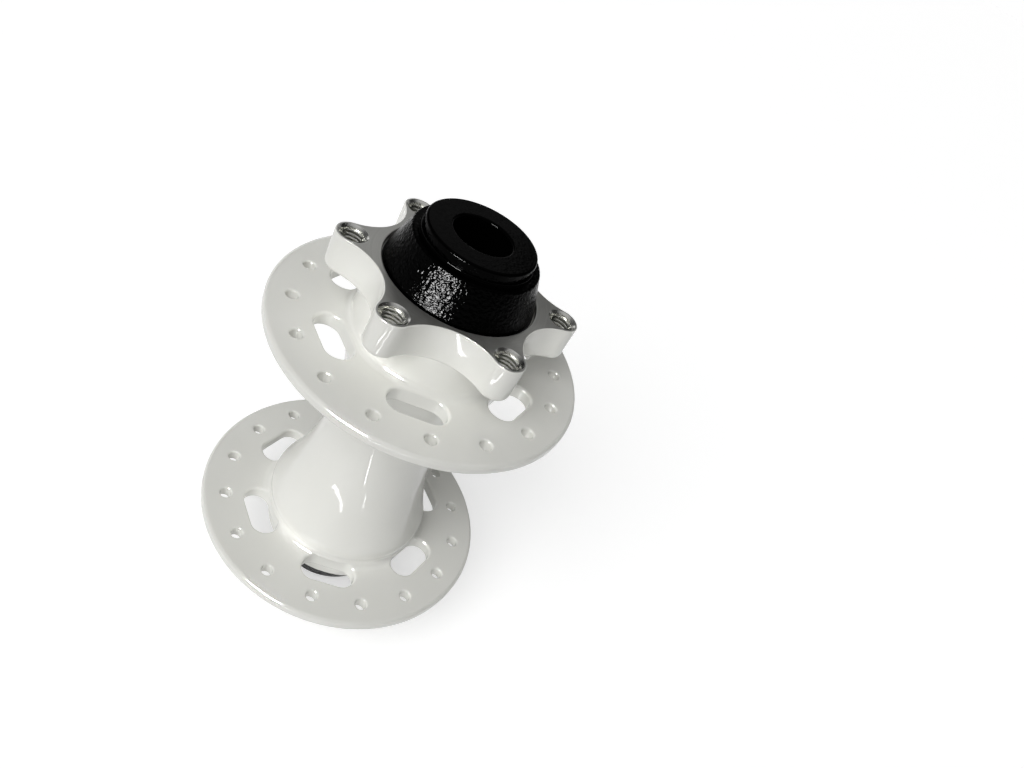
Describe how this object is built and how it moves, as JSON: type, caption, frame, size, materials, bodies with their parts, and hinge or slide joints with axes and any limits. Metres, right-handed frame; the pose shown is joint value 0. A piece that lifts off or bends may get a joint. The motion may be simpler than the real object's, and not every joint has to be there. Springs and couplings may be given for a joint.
{
  "type": "bicycle front hub",
  "caption": "Front bicycle hub for a disc brake, with a lobed rotor mount, slotted high flanges, a waisted barrel, cartridge bearings and conical end caps round a through-axle bore.",
  "frame": {"origin": "middle of the hub on its spin axis, halfway between the two faces that meet the fork", "axes": "+Z along the spin axis towards the rotor's side; +X through one of the rotor bolt holes"},
  "size_m": [0.0678, 0.0678, 0.1],
  "materials": {
    "shell_paint": "gloss white paint on machined aluminium, bare on the rotor face and in the bolt threads",
    "cap_coating": "gloss black coating on turned aluminium, with a slight orange peel",
    "bare_aluminium": "fine turned",
    "bearing_steel": "ground",
    "seal_rubber": "matt moulded",
    "cage_nylon": "moulded, slightly glossy"
  },
  "bodies": {
    "axle": {"axle_tube": "bare_aluminium", "disc_end_cap": "cap_coating", "plain_end_cap": "cap_coating", "disc_cap_o_ring": "seal_rubber", "plain_cap_o_ring": "seal_rubber", "disc_bearing_inner_race": "bearing_steel", "plain_bearing_inner_race": "bearing_steel"},
    "shell": {"hub_shell": "shell_paint", "disc_dust_seal": "seal_rubber", "plain_dust_seal": "seal_rubber", "disc_bearing_outer_race": "bearing_steel", "plain_bearing_outer_race": "bearing_steel", "disc_bearing_outer_seal": "seal_rubber", "plain_bearing_outer_seal": "seal_rubber", "disc_bearing_inner_seal": "seal_rubber", "plain_bearing_inner_seal": "seal_rubber"},
    "disc_balls": {"disc_bearing_balls": "bearing_steel", "disc_bearing_cage": "cage_nylon"},
    "plain_balls": {"plain_bearing_balls": "bearing_steel", "plain_bearing_cage": "cage_nylon"}
  },
  "joints": [
    {"name": "hub_spin", "type": "hinge", "parent": "axle", "child": "shell", "pos_m": [0, 0, 0], "axis": [0, 0, 1], "continuous": true},
    {"name": "disc_balls_spin", "type": "hinge", "parent": "axle", "child": "disc_balls", "pos_m": [0, 0, 0.0335], "axis": [0, 0, 1], "continuous": true},
    {"name": "plain_balls_spin", "type": "hinge", "parent": "axle", "child": "plain_balls", "pos_m": [0, 0, -0.0335], "axis": [0, 0, 1], "continuous": true}
  ],
  "couplings": [
    {"joint": "disc_balls_spin", "follows": "hub_spin", "ratio": 0.5673},
    {"joint": "plain_balls_spin", "follows": "hub_spin", "ratio": 0.5673}
  ]
}
